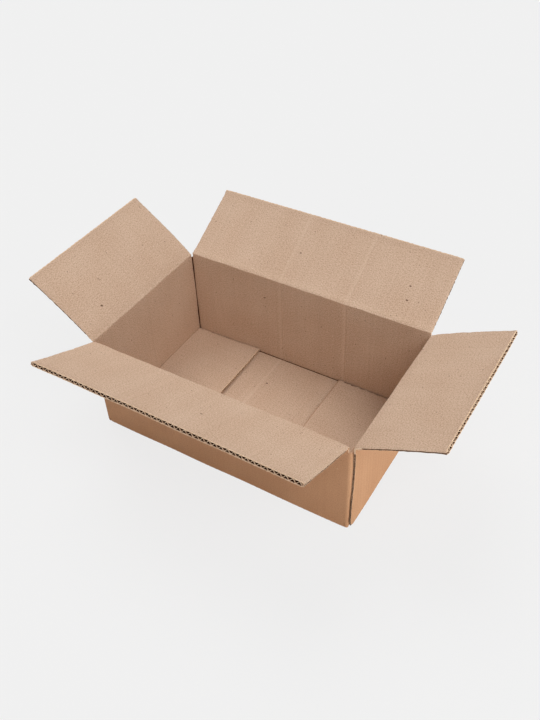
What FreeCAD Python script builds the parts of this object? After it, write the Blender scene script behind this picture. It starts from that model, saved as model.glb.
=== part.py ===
import FreeCAD, Part
import os
import Sketcher
from FreeCAD import Vector

# An open shipping box of single wall corrugated board: one folded sheet with a glued corner,
# two layers of bottom flaps, and four top flaps that swing on their creases.
# Frame: X along the long walls, Y towards the back wall, Z up; origin on the ground, under the
# middle of the box.

# Driving dimensions, in millimetres and degrees
SIZES = [
    ("box_length", 306.0, "outside, between the short walls"),
    ("box_width", 184.0, "outside, between the long walls"),
    ("long_crease_height", 118.5, "turning line of the long top flaps above the ground"),
    ("board", 3.0, "thickness of the board"),
    ("liner", 0.35, "thickness of each flat facing"),
    ("medium", 0.30, "thickness of the fluted paper"),
    ("flute_pitch", 6.3, "one wave of the fluted paper"),
    ("flute_crest", 0.9, "width of a channel at the crest of its wave"),
    ("flute_contact", 1.3, "width of the glue line under each crest"),
    ("seam_gap", 0.5, "between the free edges of two closed long flaps"),
    ("right_extra", 14.0, "further reach of the right bottom flap, as the photograph shows"),
    ("slot_inset", 3.5, "flap's side edge inside the outer corner, half a slot"),
    ("slot_drop", 4.5, "slots cut this far below the short flaps' turning line"),
    ("corner_foot", 3.5, "corners end this high above the ground, at the bottom slots"),
    ("long_line_depth", 2.2, "long flaps' turning line inside the outer face"),
    ("short_line_depth", 0.8, "short flaps' turning line inside the outer face"),
    ("closed_gap", 0.3, "between closed long flaps and the short flaps under them"),
    ("line_gap", 0.4, "crushed board stops this far from the turning line"),
    ("inner_bevel", 44.0, "crushed board's slope on the inside, degrees from the panel"),
    ("outer_bevel", 20.0, "crushed board's slope on the outside, degrees from the panel"),
    ("fold_radius", 3.0, "outside radius of a folded edge"),
    ("tab_length", 35.0, "glue tab, from the inside of the front wall"),
    ("tab_trim", 10.0, "height lost at the free end of the tab, top and bottom"),
    ("joint_setback", 3.5, "cut edge of the right wall behind the front face"),
    ("front_angle", 25.0, "front top flap above level, at rest"),
    ("back_angle", 30.0, "back top flap above level, at rest"),
    ("left_angle", 36.0, "left top flap above level, at rest"),
    ("right_angle", 25.0, "right top flap above level, at rest"),
]

# Heights and places that follow from the driving dimensions, as expressions on the sheet
HALF_LENGTH = "Sizes.box_length / 2"
HALF_WIDTH = "Sizes.box_width / 2"
FLAP_LENGTH = "((Sizes.box_width - Sizes.seam_gap) / 2)"
LONG_LINE_HEIGHT = "Sizes.long_crease_height"
SHORT_LINE_HEIGHT = (
    "(Sizes.long_crease_height - Sizes.board - Sizes.closed_gap"
    " + Sizes.long_line_depth - Sizes.short_line_depth)"
)
SLOT_FLOOR = f"({SHORT_LINE_HEIGHT} - Sizes.slot_drop)"
LOOP_FOOT = "(2 * Sizes.board + Sizes.fold_radius)"
CHANNEL_BASE = "(Sizes.flute_pitch - Sizes.flute_contact)"
CHANNEL_DEPTH = "(Sizes.board - 2 * Sizes.liner - Sizes.medium)"
INNER_SLOPE = "tan(Sizes.inner_bevel * 1deg)"
OUTER_SLOPE = "tan(Sizes.outer_bevel * 1deg)"


def make_sheet(doc):
    """The sheet of driving dimensions: plain numbers, each with an alias and a note."""
    sheet = doc.addObject("Spreadsheet::Sheet", "Sizes")
    for row, (alias, value, note) in enumerate(SIZES, start=1):
        sheet.set(f"A{row}", alias)
        sheet.set(f"B{row}", str(value))
        sheet.set(f"C{row}", note)
        sheet.setAlias(f"B{row}", alias)
    doc.recompute()
    return sheet


def number(owner, expression):
    """What an expression on the sheet comes to."""
    value = owner.evalExpression(expression)
    return float(getattr(value, "Value", value))


def make_sketch(body, name, plane, offset="0"):
    """A sketch on one of the body's origin planes, moved along its normal by an expression."""
    sketch = body.newObject("Sketcher::SketchObject", name)
    origin_plane = next(f for f in body.Origin.OriginFeatures if f.Role == plane)
    sketch.AttachmentSupport = [(origin_plane, "")]
    sketch.MapMode = "FlatFace"
    if offset != "0":
        sketch.setExpression("AttachmentOffset.Base.z", f"({offset}) * 1mm")
    return sketch


def add_outline(sketch, corners):
    """A closed outline with each corner held at a pair of expressions."""
    places = [(number(sketch, x), number(sketch, y)) for x, y in corners]
    first = sketch.GeometryCount
    for (x0, y0), (x1, y1) in zip(places, places[1:] + places[:1]):
        sketch.addGeometry(Part.LineSegment(Vector(x0, y0, 0), Vector(x1, y1, 0)), False)
    count = len(corners)
    for i in range(count):
        here, following = first + i, first + (i + 1) % count
        sketch.addConstraint(Sketcher.Constraint("Coincident", here, 2, following, 1))
    for i, (corner, place) in enumerate(zip(corners, places)):
        for kind, text, value in (
            ("DistanceX", corner[0], place[0]),
            ("DistanceY", corner[1], place[1]),
        ):
            held = sketch.addConstraint(
                Sketcher.Constraint(kind, -1, 1, first + i, 1, value)
            )
            sketch.setExpression(f"Constraints[{held}]", f"({text}) * 1mm")


def mirrored(corners):
    """The same outline on the other side of the sketch's upright axis."""
    return [(f"-({x})", y) for x, y in corners]


def make_pad(body, name, sketch, length, symmetric=False):
    pad = body.newObject("PartDesign::Pad", name)
    pad.Profile = sketch
    pad.setExpression("Length", f"({length}) * 1mm")
    if symmetric:
        pad.SideType = "Symmetric"
    return pad


def make_pocket(body, name, sketch, length, reverse):
    pocket = body.newObject("PartDesign::Pocket", name)
    pocket.Profile = sketch
    pocket.setExpression("Length", f"({length}) * 1mm")
    pocket.Reversed = reverse
    return pocket


def crease_outline(line_depth, line_height, foot, side):
    """The crushed head of a panel, from its outer face over to its inner face.

    side is the outer face's place on the sketch's level axis."""
    inner = f"(Sizes.board - {line_depth})"
    top = f"{line_height} - Sizes.line_gap"
    return [
        (side, foot),
        (side, f"{line_height} - {line_depth} / {OUTER_SLOPE}"),
        (f"{side} - {line_depth} + Sizes.line_gap * {OUTER_SLOPE}", top),
        (f"{side} - {line_depth} - Sizes.line_gap * {INNER_SLOPE}", top),
        (f"{side} - Sizes.board", f"{line_height} - {inner} / {INNER_SLOPE}"),
    ]


def panel_outline(line_depth, line_height, side, floor, reach):
    """Section through a wall and its bottom flap: crushed head, wall, fold and flap."""
    flap_end = f"{side} - {reach}"
    return crease_outline(line_depth, line_height, floor, side) + [
        (f"{side} - Sizes.board", f"{floor} + Sizes.board"),
        (flap_end, f"{floor} + Sizes.board"),
        (flap_end, floor),
    ]


def flute_count(owner, width):
    """Whole waves of fluted paper that fit across a cut edge."""
    side_wall = "(Sizes.liner + Sizes.flute_pitch / 6)"
    room = f"({width} - 2 * {side_wall}) / Sizes.flute_pitch"
    return max(2, int(number(owner, room)))


def add_flutes(body, name, plane, offset, width, floor, depth, reverse):
    """The open ends of the flutes along a flap's free edge, running back inside the flap.

    The first wave is a pair of channels, one against each facing; the rest repeat it."""
    sketch = make_sketch(body, f"{name}_wave", plane, offset)
    count = flute_count(sketch, width)
    start = f"(-{count} * Sizes.flute_pitch / 2)"
    lower = f"({start} + Sizes.flute_pitch / 4)"
    upper = f"({start} + 3 * Sizes.flute_pitch / 4)"
    low = f"({floor} + Sizes.liner)"
    high = f"({floor} + Sizes.board - Sizes.liner)"
    for middle, base, crest in (
        (lower, low, f"{low} + {CHANNEL_DEPTH}"),
        (upper, high, f"{high} - {CHANNEL_DEPTH}"),
    ):
        add_outline(
            sketch,
            [
                (f"{middle} - {CHANNEL_BASE} / 2", base),
                (f"{middle} + {CHANNEL_BASE} / 2", base),
                (f"{middle} + Sizes.flute_crest / 2", crest),
                (f"{middle} - Sizes.flute_crest / 2", crest),
            ],
        )
    pocket = make_pocket(body, f"{name}_channels", sketch, depth, reverse)
    waves = body.newObject("PartDesign::LinearPattern", f"{name}_waves")
    waves.Originals = [pocket]
    waves.Direction = (sketch, ["H_Axis"])
    waves.setExpression("Length", f"({count} - 1) * Sizes.flute_pitch * 1mm")
    waves.Occurrences = count
    body.Tip = waves
    return waves


def near(a, b):
    return abs(a - b) < 1e-4


def edges_through(shape, places, axes):
    """Names of the edges that stand on one of the places, given by two of their coordinates."""
    first, second = axes
    names = []
    for i, edge in enumerate(shape.Edges, start=1):
        ends = [v.Point for v in edge.Vertexes]
        for a, b in places:
            if all(near(end[first], a) and near(end[second], b) for end in ends):
                names.append(f"Edge{i}")
    return names


def add_fold_rounds(doc, body, name, places, axes):
    """Rounds the edges that run along the third axis through each pair of coordinates."""
    doc.recompute()
    base = body.Tip
    fillet = body.newObject("PartDesign::Fillet", name)
    fillet.Base = (base, edges_through(base.Shape, places, axes))
    fillet.setExpression("Radius", "Sizes.fold_radius * 1mm")
    body.Tip = fillet
    return fillet


def add_wall_loop(body):
    """The four walls as a closed band: the front wall turns the corner into the glue tab,
    and the right wall lies on the outside of that tab with its cut edge showing."""
    length, width = HALF_LENGTH, HALF_WIDTH
    tab_face = f"{length} - Sizes.board"
    cut_edge = f"-{width} + Sizes.joint_setback"
    inside_front = f"-{width} + Sizes.board"
    tab_end = f"{inside_front} + Sizes.tab_length"
    sketch = make_sketch(body, "wall_loop_plan", "XY_Plane", LOOP_FOOT)
    add_outline(
        sketch,
        [
            (length, cut_edge),
            (length, width),
            (f"-{length}", width),
            (f"-{length}", f"-{width}"),
            (tab_face, f"-{width}"),
            (tab_face, cut_edge),
        ],
    )
    add_outline(
        sketch,
        [
            (f"{tab_face} - Sizes.board", inside_front),
            (f"{tab_face} - Sizes.board", tab_end),
            (tab_face, tab_end),
            (tab_face, f"{width} - Sizes.board"),
            (f"-{length} + Sizes.board", f"{width} - Sizes.board"),
            (f"-{length} + Sizes.board", inside_front),
        ],
    )
    make_pad(body, "wall_loop", sketch, f"{SLOT_FLOOR} - {LOOP_FOOT}")


def add_corner_feet(doc, body):
    """Carries the corners of the loop down between the bottom folds, to the bottom slots, and
    rounds the upright folds. The glued corner's foot reaches in behind the right wall."""
    sketch = make_sketch(body, "corner_feet_plan", "XY_Plane", "Sizes.corner_foot")
    tab_root = "(Sizes.joint_setback + Sizes.board)"
    corners = [
        (HALF_LENGTH, HALF_WIDTH, "-", "- Sizes.slot_inset"),
        (f"-{HALF_LENGTH}", HALF_WIDTH, "+", "- Sizes.slot_inset"),
        (f"-{HALF_LENGTH}", f"-{HALF_WIDTH}", "+", "+ Sizes.slot_inset"),
        (f"{HALF_LENGTH} - Sizes.board", f"-{HALF_WIDTH}", "-", f"+ {tab_root}"),
    ]
    for x, y, inward_x, reach_y in corners:
        inside_x = f"{x} {inward_x} Sizes.slot_inset"
        inside_y = f"{y} {reach_y}"
        outline = [(x, y), (inside_x, y), (inside_x, inside_y), (x, inside_y)]
        add_outline(sketch, outline)
    make_pad(body, "corner_feet", sketch, f"{LOOP_FOOT} - Sizes.corner_foot")
    folds = [(number(sketch, x), number(sketch, y)) for x, y, *_ in corners]
    add_fold_rounds(doc, body, "upright_folds", folds, (0, 1))


def trim_tab(body):
    """Slopes the top and bottom ends of the glue tab towards its free edge."""
    root = f"-{HALF_WIDTH} + Sizes.board"
    end = f"{root} + Sizes.tab_length"
    sketch = make_sketch(
        body, "tab_ends", "YZ_Plane", f"{HALF_LENGTH} - 2 * Sizes.board"
    )
    for edge, slope in ((SLOT_FLOOR, "-"), (LOOP_FOOT, "+")):
        add_outline(
            sketch,
            [(root, edge), (end, edge), (end, f"{edge} {slope} Sizes.tab_trim")],
        )
    make_pocket(body, "tab_trim", sketch, "Sizes.board", True)


def add_long_panels(body):
    """Back and front walls with the outer layer of bottom flaps."""
    back = panel_outline(
        "Sizes.long_line_depth", LONG_LINE_HEIGHT, HALF_WIDTH, "0", FLAP_LENGTH
    )
    left_end = f"-({HALF_LENGTH} - Sizes.slot_inset)"
    for name, outline, right_end in (
        ("back", back, f"{HALF_LENGTH} - Sizes.slot_inset"),
        ("front", mirrored(back), f"{HALF_LENGTH} - Sizes.board - Sizes.slot_inset"),
    ):
        sketch = make_sketch(body, f"{name}_section", "YZ_Plane", left_end)
        add_outline(sketch, outline)
        make_pad(body, f"{name}_panel", sketch, f"{right_end} - {left_end}")


def add_short_panels(body):
    """Left and right walls with the inner layer of bottom flaps."""
    width = f"{HALF_WIDTH} - Sizes.slot_inset"
    for name, reach, turn in (
        ("right", f"({FLAP_LENGTH} + Sizes.right_extra)", list),
        ("left", FLAP_LENGTH, mirrored),
    ):
        outline = panel_outline(
            "Sizes.short_line_depth", SHORT_LINE_HEIGHT, HALF_LENGTH, "Sizes.board", reach
        )
        sketch = make_sketch(body, f"{name}_section", "XZ_Plane")
        add_outline(sketch, turn(outline))
        make_pad(body, f"{name}_panel", sketch, f"2 * ({width})", symmetric=True)


def round_bottom_folds(doc, body):
    """Rounds the folds between the walls and the bottom flaps."""
    sheet = doc.getObject("Sizes")
    half_length, half_width = sheet.box_length / 2, sheet.box_width / 2
    long_folds = [(half_width, 0.0), (-half_width, 0.0)]
    add_fold_rounds(doc, body, "long_bottom_folds", long_folds, (1, 2))
    short_folds = [(half_length, sheet.board), (-half_length, sheet.board)]
    add_fold_rounds(doc, body, "short_bottom_folds", short_folds, (0, 2))


def add_bottom_flutes(body):
    """Fluted free edges of the two bottom flaps that show inside the box."""
    width = f"(2 * ({HALF_WIDTH} - Sizes.slot_inset))"
    depth = f"({FLAP_LENGTH} - Sizes.board - 2 * Sizes.fold_radius)"
    edge = f"({HALF_LENGTH} - {FLAP_LENGTH})"
    args = (width, "Sizes.board", depth)
    add_flutes(body, "left_floor", "YZ_Plane", f"-{edge}", *args, False)
    right_edge = f"{edge} - Sizes.right_extra"
    add_flutes(body, "right_floor", "YZ_Plane", right_edge, *args, True)


def make_box_body(doc):
    """Walls, glue tab and bottom flaps: what stays put, glued into one piece."""
    body = doc.addObject("PartDesign::Body", "box_body")
    add_short_panels(body)
    add_long_panels(body)
    round_bottom_folds(doc, body)
    add_wall_loop(body)
    add_corner_feet(doc, body)
    trim_tab(body)
    add_bottom_flutes(body)
    return body


def make_flap(doc, name, line, width, rest, turn, place):
    """A top flap, drawn level with its turning line on X and its free edge towards +Y,
    then raised to its angle at rest, turned to its wall and set on that wall's crease.

    line is the depth of the turning line inside the outer face; place is where it goes."""
    body = doc.addObject("PartDesign::Body", name)
    inner = f"(Sizes.board - {line})"
    free_edge = f"({FLAP_LENGTH} - {line})"
    outer_start = f"{line} / {OUTER_SLOPE}"
    section = make_sketch(body, f"{name}_section", "YZ_Plane")
    add_outline(
        section,
        [
            ("Sizes.line_gap", f"-Sizes.line_gap * {OUTER_SLOPE}"),
            (outer_start, f"-{line}"),
            (free_edge, f"-{line}"),
            (free_edge, inner),
            (f"{inner} / {INNER_SLOPE}", inner),
            ("Sizes.line_gap", f"Sizes.line_gap * {INNER_SLOPE}"),
        ],
    )
    make_pad(body, f"{name}_board", section, width, symmetric=True)
    depth = f"({free_edge} - {outer_start} - Sizes.board)"
    add_flutes(body, name, "XZ_Plane", f"-{free_edge}", width, f"(-{line})", depth, True)
    where = f"create(<<vector>>; {place[0]}; {place[1]}; {place[2]})"
    turned = f"create(<<rotation>>; create(<<vector>>; 0; 0; 1); {turn})"
    raised = f"create(<<rotation>>; create(<<vector>>; 1; 0; 0); {rest})"
    body.setExpression("Placement", f"create(<<placement>>; {where}; {turned} * {raised})")
    return body


def make_flaps(doc):
    """The four top flaps: two long ones, and two short ones that close under them."""
    long_line, short_line = "Sizes.long_line_depth", "Sizes.short_line_depth"
    long_out = f"({HALF_WIDTH} - {long_line})"
    short_out = f"({HALF_LENGTH} - {short_line})"
    long_flap = (long_line, f"(2 * ({HALF_LENGTH} - Sizes.slot_inset))")
    short_flap = (short_line, f"(2 * ({HALF_WIDTH} - Sizes.slot_inset))")
    back = ("0", long_out, LONG_LINE_HEIGHT)
    front = ("0", f"-{long_out}", LONG_LINE_HEIGHT)
    left = (f"-{short_out}", "0", SHORT_LINE_HEIGHT)
    right = (short_out, "0", SHORT_LINE_HEIGHT)
    return [
        make_flap(doc, "back_flap", *long_flap, "Sizes.back_angle", 0, back),
        make_flap(doc, "front_flap", *long_flap, "Sizes.front_angle", 180, front),
        make_flap(doc, "left_flap", *short_flap, "Sizes.left_angle", 90, left),
        make_flap(doc, "right_flap", *short_flap, "Sizes.right_angle", -90, right),
    ]


def check(doc, nodes):
    """Stops the build if anything failed or a node isn't one sound solid."""
    for thing in doc.Objects:
        for word in ("Invalid", "Error"):
            if word in thing.State:
                raise RuntimeError(f"{thing.Name} is {thing.State}")
    for node in nodes:
        shape = node.Shape
        if shape.isNull() or not shape.isValid() or len(shape.Solids) != 1:
            raise RuntimeError(f"{node.Label} isn't one sound solid")


def main():
    doc = FreeCAD.newDocument("open_box")
    make_sheet(doc)
    nodes = [make_box_body(doc)] + make_flaps(doc)
    doc.recompute()
    check(doc, nodes)
    os.makedirs("parts", exist_ok=True)
    for node in nodes:
        solid = node.Shape.Solids[0]
        solid.exportStep(f"parts/{node.Label}.step")
        print(node.Label, "volume", round(solid.Volume, 1), "centre", solid.CenterOfMass)


main()
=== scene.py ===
import math

import bpy
import numpy as np
from mathutils import Matrix


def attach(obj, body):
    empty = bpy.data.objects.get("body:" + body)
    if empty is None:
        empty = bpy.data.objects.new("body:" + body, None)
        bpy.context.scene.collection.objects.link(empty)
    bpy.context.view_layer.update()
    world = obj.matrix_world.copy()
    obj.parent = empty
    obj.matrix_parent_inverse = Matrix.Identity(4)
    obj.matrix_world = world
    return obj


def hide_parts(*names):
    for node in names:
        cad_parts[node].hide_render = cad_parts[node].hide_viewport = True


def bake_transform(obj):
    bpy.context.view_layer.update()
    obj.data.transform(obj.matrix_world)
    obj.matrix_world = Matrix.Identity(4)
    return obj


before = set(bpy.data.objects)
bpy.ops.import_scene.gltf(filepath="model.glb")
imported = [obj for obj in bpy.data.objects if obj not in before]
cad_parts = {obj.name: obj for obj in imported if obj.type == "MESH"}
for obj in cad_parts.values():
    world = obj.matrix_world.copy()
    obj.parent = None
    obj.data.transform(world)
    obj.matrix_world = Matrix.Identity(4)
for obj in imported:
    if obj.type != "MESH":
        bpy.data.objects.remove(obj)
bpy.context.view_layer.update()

# Sizes of the box, in millimetres, as in the CAD
LENGTH = 306.0
WIDTH = 184.0
BOARD = 3.0
PITCH = 6.3
INSET = 3.5
LONG_LINE = 118.5
LONG_DEPTH = 2.2
SHORT_LINE = 116.6
SHORT_DEPTH = 0.8
SLOT_FLOOR = 112.1
FLAP = 91.75
RIGHT_EXTRA = 14.0
FOLD_RADIUS = 3.0
TAB = 35.0
TAB_TRIM = 10.0
WALL_FOOT = 9.0
WALL_TOP = 110.0
CREASE_REACH = 6.5
REST = {"back": 30.0, "front": 25.0, "left": 36.0, "right": 25.0}

# Sizes that the CAD doesn't have, or has otherwise: the paper of the facings and of the waved
# medium, how far above the ground the upright folds end, the stretch of the right wall beside
# its raw edge, and the glue tab's height above the bottom flaps
LINER = 0.42
MEDIUM = 0.42
CORNER_FOOT = 1.5
JOINT_STRIP = 14.0
TAB_CLEARANCE = 0.6

MM = 0.001
HALF_L = LENGTH / 2
HALF_W = WIDTH / 2
# Distance along the blank, from the glued corner round by the front, left and back walls
FRONT_END = LENGTH - BOARD
LEFT_END = FRONT_END + WIDTH
BACK_END = LEFT_END + LENGTH
RIGHT_END = BACK_END + WIDTH


def smooth(x, low, high):
    """0 below low, 1 above high, and an even turn between them."""
    t = np.clip((x - low) / (high - low), 0.0, 1.0)
    return t * t * (3 - 2 * t)


def waves(x, seed, size, count=7):
    """A smooth random line of about unit height, with swells of about this size."""
    rng = np.random.default_rng(seed)
    total = np.zeros_like(x, dtype=float)
    for _ in range(count):
        length = size * rng.uniform(0.6, 2.2)
        total = total + np.sin(2 * math.pi * (x / length + rng.uniform()))
    return total / math.sqrt(count / 2)


def bump_at(x, middle, width):
    return np.exp(-(((x - middle) / width) ** 2))


# Mesh building

def add_slab(parts, low, high, uv, faces_low, faces_high, rim, uv_high=None):
    """Adds a closed thin slab to the parts: two grids of points with a rim between them.

    A side's material is one number, or a grid with a number for each of its faces. The high
    side has the low side's texture places unless it gets its own."""
    rows, cols = low.shape[:2]
    count = rows * cols
    index = np.arange(count).reshape(rows, cols)
    a, b = index[:-1, :-1].ravel(), index[:-1, 1:].ravel()
    c, d = index[1:, 1:].ravel(), index[1:, :-1].ravel()
    under = np.stack([a, d, c, b], 1)
    over = np.stack([a, b, c, d], 1) + count
    ring = np.concatenate(
        [index[0, :-1], index[:-1, -1], index[-1, :0:-1], index[:0:-1, 0]]
    )
    after = np.roll(ring, -1)
    sides = np.stack([ring, after, after + count, ring + count], 1)
    faces = np.concatenate([under, over, sides])
    kinds = np.concatenate(
        [
            np.broadcast_to(faces_low, (rows - 1, cols - 1)).ravel(),
            np.broadcast_to(faces_high, (rows - 1, cols - 1)).ravel(),
            np.full(len(sides), rim),
        ]
    )
    points = np.concatenate([low.reshape(-1, 3), high.reshape(-1, 3)])
    uv_high = uv if uv_high is None else uv_high
    flat_uv = np.concatenate([uv.reshape(-1, 2), uv_high.reshape(-1, 2)])
    parts.append((points, flat_uv, faces, kinds))


def make_object(name, parts, materials, smooth_angle=40.0):
    """One mesh object from the slabs gathered in parts, in metres."""
    shift = 0
    points, uvs, faces, kinds = [], [], [], []
    for part_points, part_uv, part_faces, part_kinds in parts:
        points.append(part_points)
        uvs.append(part_uv)
        faces.append(part_faces + shift)
        kinds.append(part_kinds)
        shift += len(part_points)
    points = np.concatenate(points) * MM
    uvs = np.concatenate(uvs) * MM
    faces = np.concatenate(faces)
    kinds = np.concatenate(kinds)
    mesh = bpy.data.meshes.new(name)
    mesh.vertices.add(len(points))
    mesh.vertices.foreach_set("co", points.ravel())
    mesh.loops.add(faces.size)
    mesh.loops.foreach_set("vertex_index", faces.ravel())
    mesh.polygons.add(len(faces))
    mesh.polygons.foreach_set("loop_start", np.arange(0, faces.size, 4))
    mesh.polygons.foreach_set("loop_total", np.full(len(faces), 4))
    mesh.polygons.foreach_set("material_index", kinds)
    mesh.update(calc_edges=True)
    layer = mesh.uv_layers.new(name="Sheet")
    layer.data.foreach_set("uv", uvs[faces.ravel()].ravel())
    mesh.validate()
    mesh.shade_smooth()
    mesh.set_sharp_from_angle(angle=math.radians(smooth_angle))
    obj = bpy.data.objects.new(name, mesh)
    bpy.context.scene.collection.objects.link(obj)
    for material in materials:
        obj.data.materials.append(material)
    return obj


class Path:
    """A level or upright line with rounded corners; points and normals by the distance on it.

    Each corner takes its radius off the distance on both sides."""

    def __init__(self, corners, radius, start=0.0):
        self.corners = [np.array(c, float) for c in corners]
        self.radius = radius
        lengths = [np.linalg.norm(b - a) for a, b in zip(self.corners, self.corners[1:])]
        self.marks = start + np.concatenate([[0.0], np.cumsum(lengths)])

    def at(self, q):
        """Points and right-hand normals at the distances q."""
        q = np.asarray(q, float)
        point = np.zeros(q.shape + (2,))
        normal = np.zeros(q.shape + (2,))
        for i, (a, b) in enumerate(zip(self.corners, self.corners[1:])):
            ahead = (b - a) / np.linalg.norm(b - a)
            side = np.array([ahead[1], -ahead[0]])
            first, last = i == 0, i == len(self.corners) - 2
            inside = (first | (q >= self.marks[i])) & (last | (q < self.marks[i + 1]))
            point[inside] = a + (q[inside, None] - self.marks[i]) * ahead
            normal[inside] = side
        r = self.radius
        for i in range(1, len(self.corners) - 1):
            before, corner = self.corners[i - 1], self.corners[i]
            into = (corner - before) / np.linalg.norm(corner - before)
            inward = np.array([into[1], -into[0]])
            centre = corner - into * r + inward * r
            near = np.abs(q - self.marks[i]) < r
            turn = (q[near] - self.marks[i] + r) / (2 * r) * math.pi / 2
            arm = -inward * np.cos(turn)[:, None] + into * np.sin(turn)[:, None]
            point[near] = centre + arm * r
            normal[near] = -arm
        return point, normal


LOOP = Path(
    [
        (HALF_L - BOARD, -HALF_W + TAB),
        (HALF_L - BOARD, -HALF_W),
        (-HALF_L, -HALF_W),
        (-HALF_L, HALF_W),
        (HALF_L, HALF_W),
        (HALF_L, -HALF_W + INSET),
    ],
    FOLD_RADIUS,
    start=-TAB,
)


class Wall:
    """Where a wall stands: its outer face's foot, the way along the blank, and the way out."""

    def __init__(self, foot, along, out, s0):
        self.foot = np.array(foot, float)
        self.along = np.array(along, float)
        self.out = np.array(out, float)
        self.s0 = s0

    def place(self, s, out, z):
        """World points from distances along the blank, out of the outer face, and up."""
        level = (
            self.foot
            + (s - self.s0)[..., None] * self.along
            + np.asarray(out)[..., None] * self.out
        )
        return np.concatenate([level, np.asarray(z)[..., None]], -1)


WALLS = {
    "front": Wall((HALF_L - BOARD, -HALF_W), (-1, 0), (0, -1), 0.0),
    "left": Wall((-HALF_L, -HALF_W), (0, 1), (-1, 0), FRONT_END),
    "back": Wall((-HALF_L, HALF_W), (1, 0), (0, 1), LEFT_END),
    "right": Wall((HALF_L, HALF_W), (0, -1), (1, 0), BACK_END),
}
SPANS = {
    "front": (INSET, FRONT_END - INSET),
    "left": (FRONT_END + INSET, LEFT_END - INSET),
    "back": (LEFT_END + INSET, BACK_END - INSET),
    "right": (BACK_END + INSET, RIGHT_END - INSET),
}
LINES = {
    "front": (LONG_LINE, LONG_DEPTH),
    "back": (LONG_LINE, LONG_DEPTH),
    "left": (SHORT_LINE, SHORT_DEPTH),
    "right": (SHORT_LINE, SHORT_DEPTH),
}
# The rollers of the folding machine left two faint lines across the back panel
ROLLER_LINES = (LEFT_END + HALF_L - 30.0, LEFT_END + HALF_L + 52.0)
# Each has a painted highlight, a paler band to one side for the light on its ridge: its middle
# from the line, half its width, its strength
HIGHLIGHT_MIDDLE = -1.5
HIGHLIGHT_REACH = 3.2
HIGHLIGHT_TINT = 0.22
# How far apart the layers of the sheet lie in the texture, along and up
LAYER_SHIFT = 2000.0
LAYER_RISE = 500.0


def beside_rollers(low, high):
    """Places close to each roller line that lies between low and high."""
    near = np.concatenate([line + np.linspace(-2.4, 2.4, 13) for line in ROLLER_LINES])
    return near[(near > low + 2.0) & (near < high - 2.0)]


def columns(low, high):
    """Places across a panel: four to each flute, and closer to its cut sides and rollers."""
    steps = max(2, int(round((high - low) / (PITCH / 4))))
    inner = np.linspace(low, high, steps + 1)
    close = np.array([0.3, 0.7, 1.2])
    places = [inner, low + close, high - close, beside_rollers(low, high)]
    return np.unique(np.round(np.concatenate(places), 2))


# The facings' unevenness: broad swells, flutes that show through, and the rollers' dents
SWELL = 0.10
SHOW_THROUGH = 0.06
ROLLER_DEPTH = 0.30


def relief(s, h, side):
    """Small unevenness of a face of the sheet: flutes that show through, and rollers.

    s runs along the blank and h up it; side 1 is the face on the inside of the box."""
    seed = 601 + 11 * side
    swell = SWELL * waves(s, seed, 70.0) * waves(h, seed + 1, 60.0)
    uneven = 1 + 0.4 * waves(s, seed + 2, 30.0)
    flutes = SHOW_THROUGH * np.sin(2 * math.pi * s / PITCH) * uneven
    rolled = np.zeros_like(s)
    for line in ROLLER_LINES:
        rolled = rolled + bump_at(s, line, 0.8) - 0.5 * bump_at(s, line + 1.6, 0.7)
    return swell + flutes - ROLLER_DEPTH * rolled


# Materials

def srgb(r, g, b):
    """Linear colour from the usual 0 to 255 numbers."""
    def one(c):
        c = c / 255
        return c / 12.92 if c <= 0.04045 else ((c + 0.055) / 1.055) ** 2.4

    return (one(r), one(g), one(b), 1.0)


# The paper's patterns: repeats in a metre along the blank and up it
CLOUD_SCALE = (26.0, 20.0, 1.0)
FIBRE_SCALE = (880.0, 690.0, 1.0)
STREAK_SCALE = (330.0, 4.0, 1.0)
WASHBOARD_SCALE = (45.0, 7.0, 1.0)
# Specks: cells in a metre, the share of cells with one, its size and stretch, its colour,
# and how strongly it shows
BROWN = srgb(92, 62, 44)
LIGHT = srgb(228, 208, 184)
SPECKS = (
    (62.0, 0.085, 0.048, (1.0, 0.5), BROWN, 0.90),
    (95.0, 0.150, 0.056, (0.6, 1.0), BROWN, 0.85),
    (290.0, 0.20, 0.11, (1.0, 0.8), BROWN, 0.62),
    (270.0, 0.12, 0.11, (0.8, 1.0), LIGHT, 0.55),
)


def node(tree, kind, **values):
    made = tree.nodes.new(kind)
    for name, value in values.items():
        if name.startswith("in_"):
            made.inputs[name[3:].replace("_", " ")].default_value = value
        else:
            setattr(made, name, value)
    return made


def link(tree, start, start_socket, end, end_socket):
    tree.links.new(start.outputs[start_socket], end.inputs[end_socket])


def stretched(tree, uv, scale):
    mapping = node(tree, "ShaderNodeMapping")
    mapping.inputs["Scale"].default_value = scale
    link(tree, uv, "UV", mapping, "Vector")
    return mapping


def ramp(tree, source, socket, stops):
    made = node(tree, "ShaderNodeValToRGB")
    elements = made.color_ramp.elements
    while len(elements) < len(stops):
        elements.new(0.5)
    for element, (place, grey) in zip(elements, stops):
        element.position = place
        element.color = (grey, grey, grey, 1.0)
    link(tree, source, socket, made, "Fac")
    return made


def tint(tree, colour, socket, mask, mask_socket, target, strength=1.0):
    """Mixes towards a target colour where the mask is white."""
    mix = node(tree, "ShaderNodeMix", data_type="RGBA")
    scaled = node(tree, "ShaderNodeMath", operation="MULTIPLY")
    link(tree, mask, mask_socket, scaled, 0)
    scaled.inputs[1].default_value = strength
    link(tree, scaled, 0, mix, 0)
    if colour:
        tree.links.new(colour.outputs[socket], mix.inputs[6])
    mix.inputs[7].default_value = target
    return mix


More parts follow.
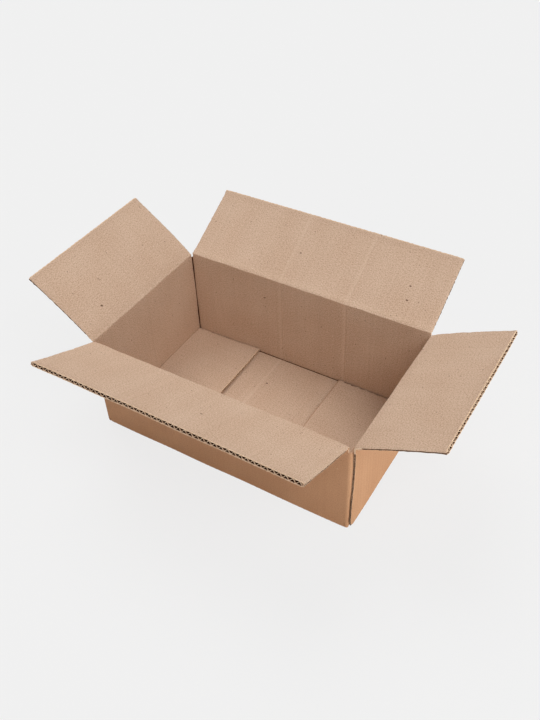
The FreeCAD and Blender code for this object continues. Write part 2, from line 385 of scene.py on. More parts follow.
def specks(tree, uv, scale, cell_share, size, stretch):
    """A mask of sparse fibres: one in some of the cells of a Voronoi pattern."""
    mapping = stretched(tree, uv, (scale * stretch[0], scale * stretch[1], 1.0))
    drift = node(tree, "ShaderNodeTexNoise", in_Scale=0.7, in_Detail=1.0)
    link(tree, mapping, "Vector", drift, "Vector")
    shifted = node(tree, "ShaderNodeMix", data_type="VECTOR")
    shifted.inputs[0].default_value = 0.35
    tree.links.new(mapping.outputs["Vector"], shifted.inputs[4])
    tree.links.new(drift.outputs["Color"], shifted.inputs[5])
    cells = node(tree, "ShaderNodeTexVoronoi", in_Scale=1.0)
    tree.links.new(shifted.outputs[1], cells.inputs["Vector"])
    near = node(tree, "ShaderNodeMath", operation="LESS_THAN")
    link(tree, cells, "Distance", near, 0)
    near.inputs[1].default_value = size
    split = node(tree, "ShaderNodeSeparateColor")
    link(tree, cells, "Color", split, "Color")
    chosen = node(tree, "ShaderNodeMath", operation="LESS_THAN")
    link(tree, split, "Red", chosen, 0)
    chosen.inputs[1].default_value = cell_share
    both = node(tree, "ShaderNodeMath", operation="MULTIPLY")
    link(tree, near, 0, both, 0)
    link(tree, chosen, 0, both, 1)
    return both


def washboard(tree, uv):
    """A mask of faint lines, one to each flute, that come and go over the sheet."""
    split = node(tree, "ShaderNodeSeparateXYZ")
    link(tree, uv, "UV", split, "Vector")
    turn = node(tree, "ShaderNodeMath", operation="MULTIPLY")
    link(tree, split, "X", turn, 0)
    turn.inputs[1].default_value = 2 * math.pi / (PITCH * MM)
    wave = node(tree, "ShaderNodeMath", operation="SINE")
    link(tree, turn, 0, wave, 0)
    lines = ramp(tree, wave, 0, [(0.2, 0.0), (1.0, 1.0)])
    patches = node(tree, "ShaderNodeTexNoise", in_Scale=1.0, in_Detail=2.0)
    link(tree, stretched(tree, uv, WASHBOARD_SCALE), "Vector", patches, "Vector")
    shown = ramp(tree, patches, "Fac", [(0.38, 0.0), (0.65, 1.0)])
    both = node(tree, "ShaderNodeMath", operation="MULTIPLY")
    link(tree, lines, "Color", both, 0)
    link(tree, shown, "Color", both, 1)
    return both


def roller_highlight(tree, uv, place):
    """A mask of the painted highlight beside a roller's line, at this place on the inner
    facing.
    """
    split = node(tree, "ShaderNodeSeparateXYZ")
    link(tree, uv, "UV", split, "Vector")
    away = node(tree, "ShaderNodeMath", operation="SUBTRACT")
    link(tree, split, "X", away, 0)
    away.inputs[1].default_value = (place + HIGHLIGHT_MIDDLE) * MM
    near = node(tree, "ShaderNodeMath", operation="ABSOLUTE")
    link(tree, away, 0, near, 0)
    share = node(tree, "ShaderNodeMath", operation="MULTIPLY")
    link(tree, near, 0, share, 0)
    share.inputs[1].default_value = 1 / (HIGHLIGHT_REACH * MM)
    return ramp(tree, share, 0, [(0.35, 1.0), (1.0, 0.0)])


def kraft(name, base, pale, dark, streaks=0.25, speckled=1.0, grain=1.0, shine=0.25):
    """Paper from waste fibre: cloudy, grainy and speckled, with streaks along the flutes."""
    material = bpy.data.materials.new(name)
    material.use_nodes = True
    tree = material.node_tree
    tree.nodes.clear()
    out = node(tree, "ShaderNodeOutputMaterial")
    shader = node(tree, "ShaderNodeBsdfPrincipled", in_Roughness=0.88)
    shader.inputs["Specular IOR Level"].default_value = shine
    link(tree, shader, "BSDF", out, "Surface")
    uv = node(tree, "ShaderNodeUVMap", uv_map="Sheet")

    clouds = node(tree, "ShaderNodeTexNoise", in_Scale=1.0, in_Detail=3.0)
    link(tree, stretched(tree, uv, CLOUD_SCALE), "Vector", clouds, "Vector")
    cloud_mask = ramp(tree, clouds, "Fac", [(0.35, 0.0), (0.7, 1.0)])
    colour = tint(tree, None, 0, cloud_mask, "Color", pale, 0.5)
    colour.inputs[6].default_value = base

    fibres = node(tree, "ShaderNodeTexNoise", in_Scale=1.0, in_Detail=4.0)
    fibres.inputs["Roughness"].default_value = 0.7
    link(tree, stretched(tree, uv, FIBRE_SCALE), "Vector", fibres, "Vector")
    dark_fibres = ramp(tree, fibres, "Fac", [(0.34, 1.0), (0.51, 0.0)])
    colour = tint(tree, colour, 2, dark_fibres, "Color", dark, 0.85 * grain)
    pale_fibres = ramp(tree, fibres, "Fac", [(0.49, 0.0), (0.66, 1.0)])
    colour = tint(tree, colour, 2, pale_fibres, "Color", pale, 0.9 * grain)

    lines = node(tree, "ShaderNodeTexNoise", in_Scale=1.0, in_Detail=3.0)
    link(tree, stretched(tree, uv, STREAK_SCALE), "Vector", lines, "Vector")
    line_mask = ramp(tree, lines, "Fac", [(0.40, 0.0), (0.68, 1.0)])
    colour = tint(tree, colour, 2, line_mask, "Color", dark, streaks * 0.35)
    colour = tint(tree, colour, 2, washboard(tree, uv), 0, dark, streaks * 0.3)

    # Painted highlight: a paler band beside each roller line, for the light its ridge catches
    for line in ROLLER_LINES:
        highlight = roller_highlight(tree, uv, line + LAYER_SHIFT)
        colour = tint(tree, colour, 2, highlight, 0, pale, HIGHLIGHT_TINT)

    for scale, share, size, stretch, target, strength in SPECKS:
        mask = specks(tree, uv, scale, share, size, stretch)
        colour = tint(tree, colour, 2, mask, 0, target, strength * speckled)
    tree.links.new(colour.outputs[2], shader.inputs["Base Color"])

    height = node(tree, "ShaderNodeMath", operation="MULTIPLY_ADD")
    link(tree, lines, "Fac", height, 0)
    height.inputs[1].default_value = 0.5 * streaks
    link(tree, fibres, "Fac", height, 2)
    bump = node(tree, "ShaderNodeBump", in_Strength=0.22, in_Distance=0.00025)
    link(tree, height, 0, bump, "Height")
    link(tree, bump, "Normal", shader, "Normal")
    return material


INNER = kraft(
    "kraft_inner", srgb(203, 172, 147), srgb(219, 192, 169), srgb(166, 133, 108)
)
OUTER = kraft(
    "kraft_outer", srgb(187, 140, 104), srgb(200, 155, 119), srgb(157, 111, 79),
    speckled=0.5, grain=0.6,
)
FLUTED = kraft(
    "fluted_paper", srgb(184, 146, 118), srgb(202, 166, 138), srgb(140, 104, 78),
    speckled=0.4,
)
# The cut edges: paler, as cut paper is, and lighter still as a painted highlight for the light
# on the edges
EDGE = kraft(
    "cut_edge", srgb(224, 192, 160), srgb(234, 206, 178), srgb(180, 144, 112),
    speckled=0.5,
)
# Painted shade: a dark paper colour for faces deep in the flutes and folds, where hardly any
# light comes
PAINTED_SHADE = kraft(
    "painted_shade_paper", srgb(78, 42, 27), srgb(92, 52, 35), srgb(56, 30, 20),
    speckled=0.2, shine=0.0,
)
BOARD_MATERIALS = [INNER, OUTER, FLUTED, EDGE, PAINTED_SHADE]
IS_INNER, IS_OUTER, IS_FLUTED, IS_EDGE, IS_PAINTED_SHADE = range(5)


# Boards: three layers of paper in one set of panel coordinates
# s runs along the blank, v along the flutes, and n through the board from the outer face

def sheet_uv(s, h, layer):
    """Texture place on the blank; each layer gets a place of its own, 1 is the inner face."""
    return np.stack([s + layer * LAYER_SHIFT, h + layer * LAYER_RISE], -1)


def medium_wave(s, seed):
    """The fluted paper's middle line, as a share of its swing from -1 to 1."""
    drift = 0.10 * waves(s, seed, 45.0)
    turn = 2 * math.pi * (s / PITCH) + drift
    wave = np.sin(turn)
    return np.sign(wave) * np.abs(wave) ** 0.8


# Places behind a free end, and how far in the light reaches into the flutes
TIP_ROWS = np.array([2.6, 1.6, 0.9, 0.4, 0.0])
RAW_DEPTH = 0.7
# A side edge: how much its layers are crushed together, and over what width
SIDE_CRUSH = 0.42
CRUSH_WIDTH = 2.8
# A free end: the length that spreads, the width of its rim, and how far the flutes' crests
# stand out of it and how deep the facings dip between them
SPREAD_LENGTH = 8.0
RIM_WIDTH = 0.9
SCALLOP = 0.16
DIMPLE = 0.14
# How far in from a side edge and from a free end the paper's line is uneven
FRAY_REACH = 1.3
NICK_REACH = 1.5
# Crushed medium along a side edge: the levels of its two layers, and half their thickness
FILLING_LEVELS = (0.95, 1.95)
FILLING_HALF = 0.13
# Painted shade on a fold's inner side, to each side of its middle
GROOVE_REACH = 1.7
# Places so far off that nothing on a panel is near them
NO_FREE_END = 2000.0
NO_GROOVE = -100.0


def between(rows):
    return (rows[:-1] + rows[1:]) / 2


class Panel:
    """A board with cut edges: its span along the blank and its free end along the flutes.

    flare is how much thicker its free end is, about its middle and upwards only; groove is
    the place of a fold whose inner face is painted shade, and rim the look of the inner facing
    beside the free end."""

    def __init__(self, span, end, place, seed, ragged=(True, True), height=None, fray=0.16,
                 flare=(0.45, 0.0), groove=NO_GROOVE, rim=IS_EDGE):
        self.low, self.high = span
        self.end = end
        self.place = place
        self.seed = seed
        self.ragged = ragged
        self.fray = fray
        self.flare = flare
        self.groove = groove
        self.rim = rim
        self.height = height or (lambda v: v)

    def pinched(self, s, v, n):
        """Layers crushed together at the side edges, and spread a little at the free end."""
        side = np.minimum(s - self.low, self.high - s)
        squeeze = SIDE_CRUSH * (1 - smooth(side, 0.0, CRUSH_WIDTH))
        squeeze = squeeze * (1.0 + 0.12 * waves(v, self.seed + 5, 14.0))
        spread = (1 - smooth(self.end - v, 0.0, SPREAD_LENGTH)) * (1 - squeeze)
        about_middle, upwards = self.flare
        middle = BOARD / 2
        level = middle + (n - middle) * (1 - squeeze + about_middle * spread)
        return level + upwards * n * spread

    def cut(self, s, v, layer):
        """Moves the edge points of a layer to a torn or knife-cut line."""
        seed = self.seed * 7 + layer
        fray = self.fray * (waves(v, seed, 2.3) + 0.4 * waves(v, seed + 1, 9.0))
        left = (1 - smooth(s - self.low, 0.0, FRAY_REACH)) * self.ragged[0]
        right = (1 - smooth(self.high - s, 0.0, FRAY_REACH)) * self.ragged[1]
        moved_s = s + fray * left + 0.9 * fray * right
        nick = 0.08 * waves(s, seed + 2, 3.0) + 0.06 * waves(s, seed + 3, 18.0)
        nick = nick + SCALLOP * np.cos(2 * math.pi * s / PITCH)
        moved_v = v + nick * smooth(v, self.end - NICK_REACH, self.end)
        return moved_s, moved_v

    def grid(self, rows):
        s, v = np.meshgrid(columns(self.low, self.high), rows)
        return s, v

    def raw(self, rows):
        """Materials of the hidden paper, for each row of faces by its depth behind the end: the
        fluted paper's colour near the end, and painted shade further in where no light reaches.
        """
        return np.where(between(rows) > self.end - RAW_DEPTH, IS_FLUTED, IS_PAINTED_SHADE)[:, None]

    def liner(self, parts, rows, n_low, n_high, side, layer):
        """One flat facing; side 1 is the facing on the inside of the box."""
        s0, v0 = self.grid(rows)
        s, v = self.cut(s0, v0, layer)
        lift = relief(s0, self.height(v0), side)
        end = smooth(v0, self.end - 2.5, self.end)
        inward = 1.0 if side == 0 else -1.0
        dip = inward * DIMPLE * end * (0.5 - 0.5 * np.cos(4 * math.pi * s0 / PITCH))
        low = self.pinched(s0, v0, np.full_like(s0, n_low)) + lift + dip
        high = self.pinched(s0, v0, np.full_like(s0, n_high)) + lift + dip
        uv = sheet_uv(s0, self.height(v0), side)
        raw = self.raw(rows)
        middle = between(rows)
        # Beside the free end the inner face takes the rim's material, and along a fold painted
        # shade
        face = np.where(middle > self.end - RIM_WIDTH, self.rim, IS_INNER)
        face[np.abs(middle - self.groove) < GROOVE_REACH] = IS_PAINTED_SHADE
        kinds = (IS_OUTER, raw) if side == 0 else (raw, face[:, None])
        add_slab(parts, self.place(s, v, low), self.place(s, v, high), uv, *kinds, IS_EDGE)

    def medium(self, parts, rows):
        """The fluted paper between the facings."""
        steps = int(round((self.high - self.low) / PITCH * 12))
        line = np.linspace(self.low + 0.5, self.high - 0.5, steps)
        s0, v0 = np.meshgrid(line, rows)
        swing = (BOARD - 2 * LINER - MEDIUM) / 2
        wave = swing * medium_wave(s0, self.seed)
        slope = np.gradient(wave[0], line)[None, :]
        flat = 1 / np.sqrt(1 + slope ** 2)
        s, v = self.cut(s0, v0, 3)
        grids = []
        for half in (-MEDIUM / 2, MEDIUM / 2):
            n = BOARD / 2 + wave + half * flat
            shifted = s - half * slope * flat
            grids.append(self.place(shifted, v - 0.12, self.pinched(s0, v0, n)))
        uv = sheet_uv(s0, self.height(v0), 2)
        # The fluted paper: its own colour near the end, painted shade further in
        raw = self.raw(rows)
        add_slab(parts, grids[0], grids[1], uv, raw, raw, IS_EDGE)

    def medium_rows(self, start):
        return np.append(np.linspace(start, self.end - 4.0, 7), self.end - TIP_ROWS)

    def side_filling(self, parts, rows):
        """Crushed fluted paper that shows between the facings along a side edge."""
        for edge, sign in ((self.low, 1.0), (self.high, -1.0)):
            for layer, n_mid in enumerate(FILLING_LEVELS):
                seed = self.seed + 31 * layer + int(sign)
                across = np.array([0.0, 0.5, 1.1, 1.9])
                s0, v0 = np.meshgrid(edge + sign * (0.25 + across), rows)
                depth = 0.35 * waves(v0, seed, 2.3) + 0.25 * waves(v0, seed + 1, 6.0)
                s = s0 + sign * np.abs(depth) * (np.abs(s0 - edge) < 0.6)
                n = n_mid + 0.28 * waves(v0 + 3 * s0, seed + 2, 5.0)
                low = self.place(s, v0, self.pinched(s0, v0, n - FILLING_HALF))
                high = self.place(s, v0, self.pinched(s0, v0, n + FILLING_HALF))
                uv = sheet_uv(s0, self.height(v0), 3)
                add_slab(parts, low, high, uv, IS_FLUTED, IS_FLUTED, IS_FLUTED)

    def build(self, rows, medium_start=None):
        """The slabs of the whole board; it has no medium unless that has a start."""
        parts = []
        self.liner(parts, rows, 0.0, LINER, 0, 1)
        self.liner(parts, rows, BOARD - LINER, BOARD, 1, 2)
        if medium_start is not None:
            self.medium(parts, self.medium_rows(medium_start))
        self.side_filling(parts, rows)
        return parts


# Top flaps

def flap_rows(start, end):
    """Places along the flutes of a flap, closer near its free edge."""
    body = np.arange(start, end - 3.0, 2.4)
    return np.concatenate([body, end - TIP_ROWS])


# How far the middle of each flap bows towards its inner face
CURL = {"front": -0.4, "back": -0.4, "left": 1.3, "right": 0.8}
# Which way each flap stands off, so that the long ones lie clear of the short ones when shut
CLEAR = {"front": -1.0, "back": -1.0, "left": 1.0, "right": 1.0}
SEEDS = {"front": 101, "back": 211, "left": 307, "right": 401}

# The board turns within this distance of the crease's line, and is crushed within the second
TURN_REACH = 2.6
CRUSH_REACH = 4.5
# How much of it is crushed there, on the outer and the inner side of the line
OUTER_CRUSH = 0.5
INNER_CRUSH = 0.08
# How unevenly the line runs, how much a flap twists at its end, how far it stands off beside
# its line, and how much more at its end
WOBBLE = 0.18
TWIST = 0.5
ROOT_CLEARANCE = 0.5
TIP_CLEARANCE = 1.2


def crease_place(side):
    """World points near the top of a wall and on its flap; v runs past the turning line."""
    wall = WALLS[side]
    span = SPANS[side]
    seed = SEEDS[side]
    line_height, depth = LINES[side]
    rest = math.radians(REST[side])

    def place(s, v, n):
        turn = math.pi / 2 - (math.pi / 2 - rest) * smooth(v, -TURN_REACH, TURN_REACH)
        ahead_out = np.where(v < 0, 0.0, math.cos(rest)) * v
        ahead_up = np.where(v < 0, 1.0, math.sin(rest)) * v
        bend = 1 - smooth(np.abs(v), 0.0, CRUSH_REACH)
        crushed = np.where(n < depth, OUTER_CRUSH, INNER_CRUSH)
        level = (n - depth) * (1 - crushed * bend)
        u = (s - span[0]) / (span[1] - span[0])
        far = smooth(v, 4.0, 30.0)
        tip = v / (FLAP - depth)
        sag = CURL[side] * np.sin(math.pi * np.clip(tip, 0.0, 1.0)) * np.where(v > 0, 1, 0)
        twist = TWIST * np.clip(waves(u + 0.2, seed + 3, 1.6), -1.6, 1.6) * far * tip
        clearance = ROOT_CLEARANCE * smooth(v, 1.0, 9.0)
        clearance = clearance + TIP_CLEARANCE * np.clip(tip, 0.0, 1.0)
        away = CLEAR[side] * clearance
        level = level + sag * smooth(v, 0.0, 8.0) + twist + away
        out = -depth + ahead_out - level * np.sin(turn)
        z = line_height + ahead_up + level * np.cos(turn)
        wobble = WOBBLE * waves(s, seed + 9, 38.0) * bend
        return wall.place(s, out, z + wobble)

    return place


def crease_height(side):
    line_height, _ = LINES[side]
    return lambda v: line_height + v


def make_flap(side):
    _, depth = LINES[side]
    end = FLAP - depth
    panel = Panel(
        SPANS[side], end, crease_place(side), SEEDS[side],
        height=crease_height(side),
    )
    parts = panel.build(flap_rows(CREASE_REACH, end), CREASE_REACH)
    obj = make_object(f"{side}_flap_board", parts, BOARD_MATERIALS)
    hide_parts(f"{side}_flap")
    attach(obj, side)
    return obj


def make_crease(side):
    """The crushed board that joins a flap to its wall, bent to the flap's resting angle."""
    line_height, depth = LINES[side]
    start = WALL_TOP - line_height
    rows = np.unique(np.concatenate([
        np.linspace(start, -CRUSH_REACH, 3),
        np.linspace(-CRUSH_REACH, CRUSH_REACH, 25),
        np.linspace(CRUSH_REACH, CREASE_REACH, 3),
    ]))
    panel = Panel(
        SPANS[side], NO_FREE_END, crease_place(side), SEEDS[side],
        height=crease_height(side),
    )
    place = panel.place
    s0, v0 = panel.grid(rows)
    s, v = panel.cut(s0, v0, 1)
    up = line_height + v0
    low = panel.pinched(s0, v0, np.zeros_like(s0)) + relief(s0, up, 0)
    high = panel.pinched(s0, v0, np.full_like(s0, BOARD)) + relief(s0, up, 1)
    parts = []
    add_slab(
        parts, place(s, v, low), place(s, v, high), sheet_uv(s0, up, 0),
        IS_OUTER, IS_INNER, IS_EDGE, sheet_uv(s0, up, 1),
    )
    obj = make_object(f"{side}_crease", parts, BOARD_MATERIALS)
    wall = WALLS[side]
    centre = np.array(sum(SPANS[side]) / 2)
    middle = wall.place(centre, np.array(-depth), np.array(line_height))
    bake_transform(obj)
    return obj


# Walls

# Each upright fold's place along the blank, and the width and depth of the groove inside it
FOLDS = (
    (0.0, 0.8, 1.9),
    (FRONT_END, 1.6, 2.0),
    (LEFT_END, 2.5, 2.4),
    (BACK_END, 1.6, 2.0),
)


def corner_groove(s, z):
    """How far the inner liner is drawn into each upright fold."""
    total = np.zeros_like(s)
    for corner, width, depth in FOLDS:
        uneven = 1.0 + 0.12 * waves(z, int(corner) + 5, 40.0)
        total = total + depth * bump_at(s, corner, width * uneven)
    return total


def fold_faces(s):
    """Materials of the inner face along the blank: painted shade inside the folds' grooves."""
    middle = (s[0, :-1] + s[0, 1:]) / 2
    kinds = np.full(len(middle), IS_INNER)
    for corner, width, _ in FOLDS:
        kinds[np.abs(middle - corner) < width * 0.9] = IS_PAINTED_SHADE
    return kinds[None, :]


# How far each wall bows outwards, and the height and spread of that
BOW = {"front": 1.1, "back": 0.7, "left": 0.5, "right": 0.5}
BOW_HEIGHT = 45.0
BOW_SPREAD = 34.0


def wall_bow(side, share, z):
    """How far out a wall stands at a share of its length and a height."""
    across = np.sin(math.pi * np.clip(share, 0.0, 1.0))
    return BOW[side] * across * bump_at(z, BOW_HEIGHT, BOW_SPREAD)


def wall_place(s, z, n):
    """World points on the closed band of the walls."""
    point, normal = LOOP.at(s)
    n = np.asarray(n, float)
    inner_share = np.clip(n / BOARD, 0.0, 1.0) ** 2
    n = n - corner_groove(s, z) * inner_share
    bow = 0.0
    for side in WALLS:
        low, high = SPANS[side]
        bow = bow + wall_bow(side, (s - low) / (high - low), z)
    level = point + (n - bow)[..., None] * normal
    return np.concatenate([level, z[..., None]], -1)


# Close columns lie within this distance of an upright fold
FOLD_REACH = 3.4


def wall_columns(low, high):
    """Places along the blank with more of them round the upright folds."""
    even = np.arange(low, high, PITCH / 4)
    marks = [even, np.array([low, high]), beside_rollers(low, high)]
    for corner, _, _ in FOLDS:
        near = corner + np.linspace(-FOLD_REACH, FOLD_REACH, 35)
        marks.append(near[(near > low) & (near < high)])
    return np.unique(np.round(np.concatenate(marks), 3))


# Below this height the corners' feet draw in, by this much per square millimetre
FOOT_CURL_HEIGHT = 4.0
FOOT_CURL = 0.09


def add_wall_band(parts, low, high, z_low, z_high, rows, rim=IS_EDGE):
    """A stretch of the walls between two heights, which may change along it."""
    s, k = np.meshgrid(wall_columns(low, high), np.linspace(0.0, 1.0, rows))
    z = z_low(s) + (z_high(s) - z_low(s)) * k
    lift_out = relief(s, z, 0)
    lift_in = relief(s, z, 1)
    curl = FOOT_CURL * np.clip(FOOT_CURL_HEIGHT - z, 0.0, FOOT_CURL_HEIGHT) ** 2
    outer = wall_place(s, z, lift_out + curl)
    inner = wall_place(s, z, BOARD + lift_in + curl)
    add_slab(
        parts, outer, inner, sheet_uv(s, z, 0),
        IS_OUTER, fold_faces(s), rim, sheet_uv(s, z, 1),
    )


def level_at(height):
    return lambda s: np.full_like(s, height)


def make_walls():
    parts = []
    ground, foot = level_at(CORNER_FOOT), level_at(WALL_FOOT)
    top, slot = level_at(WALL_TOP), level_at(SLOT_FLOOR)
    add_wall_band(parts, INSET, RIGHT_END - INSET - JOINT_STRIP, foot, top, 30)
    for corner in (FRONT_END, LEFT_END, BACK_END):
        low, high = corner - INSET, corner + INSET
        add_wall_band(parts, low, high, top, slot, 4, IS_FLUTED)
        add_wall_band(parts, low, high, ground, foot, 8, IS_FLUTED)
    obj = make_object("walls", parts, BOARD_MATERIALS, 50.0)
    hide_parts("box_body")
    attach(obj, "carton")
    return obj


# The tab's foot steps up beside the corner, between these distances from it
STEP_START = 2.2
STEP_END = 4.0


def make_tab():
    """The glue tab: the front wall goes on round the corner, inside the right wall."""
    def top(s):
        return SLOT_FLOOR - TAB_TRIM * np.clip(-s / TAB, 0.0, 1.0)

    def foot(s):
        above_flaps = 2 * BOARD + TAB_CLEARANCE
        step = (above_flaps - CORNER_FOOT) * smooth(-s, STEP_START, STEP_END)
        slope = np.clip((-s - STEP_END) / (TAB - STEP_END), 0.0, 1.0)
        return CORNER_FOOT + step + (WALL_FOOT + TAB_TRIM - above_flaps) * slope

    parts = []
    add_wall_band(parts, -TAB, INSET, foot, top, 44, IS_FLUTED)
    obj = make_object("glue_tab", parts, BOARD_MATERIALS, 50.0)
    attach(obj, "carton")
    return obj


# The raw edge of the right wall: how far back it is on the ground, how much further on top,
# and the height of that
SLANT_FOOT = -1.8
SLANT = 2.6
SLANT_HEIGHT = 112.0


def cut_slant(z):
    """The raw edge of the right wall runs a little askew: further back at the top."""
    return SLANT_FOOT + SLANT * smooth(z, 0.0, SLANT_HEIGHT)


class JointPanel(Panel):
    """A panel whose far side edge is crushed towards the wall, more at its foot."""

    def pinched(self, s, v, n):
        base = 1.2
        squeeze = 0.25 + 0.35 * smooth(v, 20.0, 100.0) + 0.10 * waves(v, 706, 12.0)
        squeeze = squeeze * (1 - smooth(self.high - s, 0.0, 2.6))
        return base + (n - base) * (1 - np.clip(squeeze, 0.0, 0.75))


def make_joint_edge():
    """The last stretch of the right wall, with its raw edge beside the rounded corner."""
    low, high = RIGHT_END - INSET - JOINT_STRIP, RIGHT_END - INSET
    middle = (low + high) / 2

    def place(s, v, n):
        z = WALL_TOP + WALL_FOOT - v
        slant = cut_slant(z) * smooth(s, middle, high)
        return wall_place(s - slant, z, n)

    panel = JointPanel(
        (low, high), NO_FREE_END, place, 590, ragged=(False, True),
        height=lambda v: WALL_TOP + WALL_FOOT - v, fray=0.32,
    )
    rows = np.arange(WALL_FOOT, WALL_TOP + 0.5, 1.0)
    rows[-1] = WALL_TOP
    obj = make_object("joint_edge", panel.build(rows), BOARD_MATERIALS, 50.0)
    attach(obj, "carton")
    return obj


# Bottom

def bottom_path(side):
    """Outer face from the foot of a wall round the fold and along the bottom flap.

    The path's first number is the way out of the wall, the second is the height."""
    floor = 0.0 if side in ("front", "back") else BOARD
    reach = FLAP + (RIGHT_EXTRA if side == "right" else 0.0)
    corners = [(0.0, WALL_FOOT), (0.0, floor), (-reach, floor)]
    return Path(corners, FOLD_RADIUS), WALL_FOOT - floor + reach


# How far the free end of each bottom flap springs up
LIFTS = {"front": 0.0, "back": 0.0, "left": 1.7, "right": 0.8}
# The right one is cut this much narrower at the back
RIGHT_CLEARANCE = 0.6
# Along its path, the fold's close rows end and the flap's waved medium starts
BEND_END = 13.0
MEDIUM_START = 16.0


def make_bottom(side):
    wall = WALLS[side]
    path, end = bottom_path(side)
    seed = SEEDS[side] + 50
    span = SPANS[side]
    if side == "right":
        span = (span[0] + RIGHT_CLEARANCE, span[1])
    low_layer = side in ("front", "back")
    floor = 0.0 if low_layer else BOARD

    def place(s, v, n):
        point, normal = path.at(v)
        flat = smooth(v, 14.0, 30.0)
        u = (s - span[0]) / (span[1] - span[0])
        warp = 0.25 * waves(u * 3 + v * 0.01, seed, 2.0) * flat
        if low_layer:
            warp = np.maximum(warp, 0.0) * 0.4
        lift = LIFTS[side] * smooth(v, 10.0, end + 40.0) / smooth(end, 10.0, end + 40.0)
        inner_share = np.clip(n / BOARD, 0.0, 1.0) ** 2
        depth = 1.8 if low_layer else 0.7
        n = n + warp + lift - depth * inner_share * bump_at(v, fold, 2.6)
        bow = wall_bow(side, u, np.maximum(WALL_FOOT - v, 0.0)) * (1 - smooth(v, 2.0, 14.0))
        out = point[..., 0] + n * normal[..., 0] + bow
        z = np.maximum(point[..., 1] + n * normal[..., 1], 0.0)
        return wall.place(s, out, z)

    fold = WALL_FOOT - floor
    panel = Panel(
        span, end, place, seed, height=lambda v: WALL_FOOT - v,
        fray=0.5 if side == "right" else 0.16, flare=(0.0, 0.15),
        # Painted shade along the inner side of the front and back flaps' folds
        groove=fold if low_layer else NO_GROOVE,
        # The right flap's inner face ends in a band of the darker fluted paper: painted shade
        # for the shadow line along its lifted end
        rim=IS_FLUTED if side == "right" else IS_EDGE,
    )
    bend = np.linspace(0.0, BEND_END, 27)
    rows = np.unique(np.concatenate([bend, flap_rows(BEND_END, end)]))
    parts = panel.build(rows, MEDIUM_START)
    obj = make_object(f"{side}_bottom_flap", parts, BOARD_MATERIALS)
    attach(obj, "carton")
    return obj


make_walls()
make_tab()
make_joint_edge()
for side in LINES:
    make_bottom(side)
    make_flap(side)
    make_crease(side)


# Stage, light and camera

BACKGROUND = srgb(240, 240, 240)
# How far the floor reaches, how much of it is the plain grey, and the sky's brightness
FLOOR_REACH = 6.0
FLOOR_GLOW = 0.9
SKY = 0.20


def seen_directly(tree):
    """1 for rays from the camera and for those that show the background in a gloss or glass."""
    path = node(tree, "ShaderNodeLightPath")
    first = node(tree, "ShaderNodeMath", operation="MAXIMUM")
    link(tree, path, "Is Camera Ray", first, 0)
    link(tree, path, "Is Glossy Ray", first, 1)
    second = node(tree, "ShaderNodeMath", operation="MAXIMUM")
    link(tree, first, 0, second, 0)
    link(tree, path, "Is Transmission Ray", second, 1)
    return second


def make_floor():
    """A pale floor that keeps a soft shadow and shows as the plain grey of the background."""
    mesh = bpy.data.meshes.new("floor")
    signs = ((-1, -1), (1, -1), (1, 1), (-1, 1))
    corners = [(x * FLOOR_REACH, y * FLOOR_REACH, 0.0) for x, y in signs]
    mesh.from_pydata(corners, [], [(0, 1, 2, 3)])
    obj = bpy.data.objects.new("floor", mesh)
    bpy.context.scene.collection.objects.link(obj)
    material = bpy.data.materials.new("floor")
    material.use_nodes = True
    tree = material.node_tree
    tree.nodes.clear()
    out = node(tree, "ShaderNodeOutputMaterial")
    plain = node(tree, "ShaderNodeBsdfDiffuse", in_Color=BACKGROUND)
    glow = node(tree, "ShaderNodeEmission", in_Color=BACKGROUND, in_Strength=1.0)
    share = node(tree, "ShaderNodeMath", operation="MULTIPLY")
    link(tree, seen_directly(tree), 0, share, 0)
    share.inputs[1].default_value = FLOOR_GLOW
    mix = node(tree, "ShaderNodeMixShader")
    link(tree, share, 0, mix, 0)
    tree.links.new(plain.outputs[0], mix.inputs[1])
    tree.links.new(glow.outputs[0], mix.inputs[2])
    link(tree, mix, 0, out, "Surface")
    obj.data.materials.append(material)


def make_world():
    world = bpy.data.worlds.new("studio")
    bpy.context.scene.world = world
    world.use_nodes = True
    tree = world.node_tree
    tree.nodes.clear()
    out = node(tree, "ShaderNodeOutputWorld")
    soft = node(tree, "ShaderNodeBackground", in_Color=(1.0, 1.0, 1.0, 1.0), in_Strength=SKY)
    plain = node(tree, "ShaderNodeBackground", in_Color=BACKGROUND, in_Strength=1.0)
    mix = node(tree, "ShaderNodeMixShader")
    link(tree, seen_directly(tree), 0, mix, 0)
    tree.links.new(soft.outputs[0], mix.inputs[1])
    tree.links.new(plain.outputs[0], mix.inputs[2])
    link(tree, mix, 0, out, "Surface")


def look_from(place, target):
    """Right, up and back of something that looks from place to target."""
    ahead = np.array(target, float) - np.array(place, float)
    ahead = ahead / np.linalg.norm(ahead)
    right = np.cross(ahead, [0.0, 0.0, 1.0])
    right = right / np.linalg.norm(right)
    up = np.cross(right, ahead)
    return right, up, -ahead


def basis(right, up, back, place):
    matrix = Matrix.Identity(4)
    for row in range(3):
        matrix[row][0] = right[row]
        matrix[row][1] = up[row]
        matrix[row][2] = back[row]
        matrix[row][3] = place[row]
    return matrix


def add_lamp(name, data, place, target):
    obj = bpy.data.objects.new(name, data)
    obj.matrix_world = basis(*look_from(place, target), place)
    bpy.context.scene.collection.objects.link(obj)


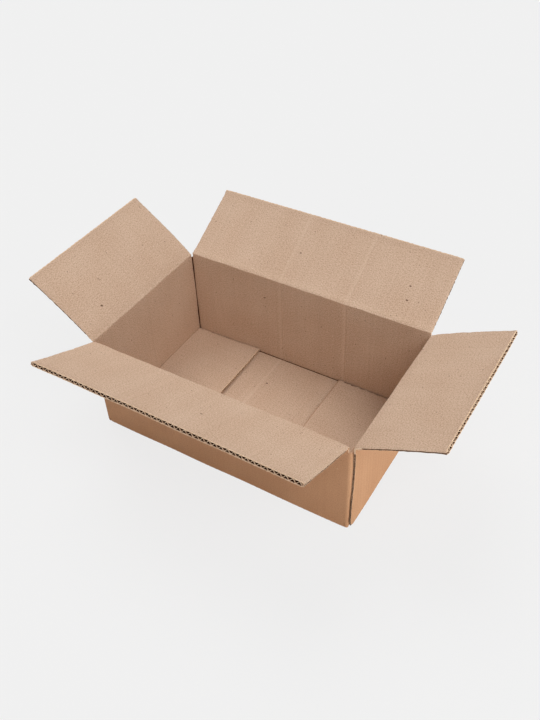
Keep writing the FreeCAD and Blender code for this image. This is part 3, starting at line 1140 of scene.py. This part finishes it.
# Broad lamps far away: the way to each, and the brightness of a white face turned to it
LAMPS = {
    "back_left": ((-0.6, 0.5, 1.2), 0.49),
    "right": ((0.75, -0.35, 1.25), 0.34),
    "low_right": ((1.0, 0.1, 0.55), 0.115),
    "front": ((0.2, -1.0, 0.6), 0.14),
}
LAMP_ANGLE = 40.0


def make_lamps():
    for name, (place, level) in LAMPS.items():
        data = bpy.data.lights.new(name, "SUN")
        data.energy = math.pi * level
        data.angle = math.radians(LAMP_ANGLE)
        add_lamp(name, data, place, (0.0, 0.0, 0.0))


def make_side_panel():
    """A low light panel beside the right wall."""
    data = bpy.data.lights.new("side_panel", "AREA")
    data.shape = "RECTANGLE"
    data.size = 0.5
    data.size_y = 0.12
    data.energy = 0.28
    data.color = (0.94, 1.0, 1.0)
    data.spread = math.radians(60.0)
    add_lamp("side_panel", data, (0.75, -0.05, 0.075), (0.15, 0.0, 0.06))


CAMERA_AZIMUTH = 32.58
CAMERA_HEIGHT = 42.37
CAMERA_ROLL = -2.44
CAMERA_DISTANCE = 900.0
CAMERA_TARGET = (-6.6, 24.5, 64.6)
FOCAL_PIXELS = 820.05
FRAME_HEIGHT = 720.0
SENSOR = 24.0


def make_camera():
    azimuth = math.radians(CAMERA_AZIMUTH)
    height = math.radians(CAMERA_HEIGHT)
    back = np.array([
        math.sin(azimuth) * math.cos(height),
        -math.cos(azimuth) * math.cos(height),
        math.sin(height),
    ])
    place = (np.array(CAMERA_TARGET) + back * CAMERA_DISTANCE) * MM
    right = np.cross(-back, [0.0, 0.0, 1.0])
    right = right / np.linalg.norm(right)
    up = np.cross(right, -back)
    roll = math.radians(CAMERA_ROLL)
    turned_right = right * math.cos(roll) + up * math.sin(roll)
    turned_up = -right * math.sin(roll) + up * math.cos(roll)
    data = bpy.data.cameras.new("camera")
    data.sensor_fit = "VERTICAL"
    data.sensor_height = SENSOR
    data.lens = FOCAL_PIXELS * SENSOR / FRAME_HEIGHT
    data.clip_start = 0.01
    data.clip_end = 50.0
    obj = bpy.data.objects.new("camera", data)
    obj.matrix_world = basis(turned_right, turned_up, back, place)
    bpy.context.scene.collection.objects.link(obj)
    bpy.context.scene.camera = obj


make_floor()
make_world()
make_lamps()
make_side_panel()
make_camera()
bpy.context.scene.view_settings.view_transform = "Standard"
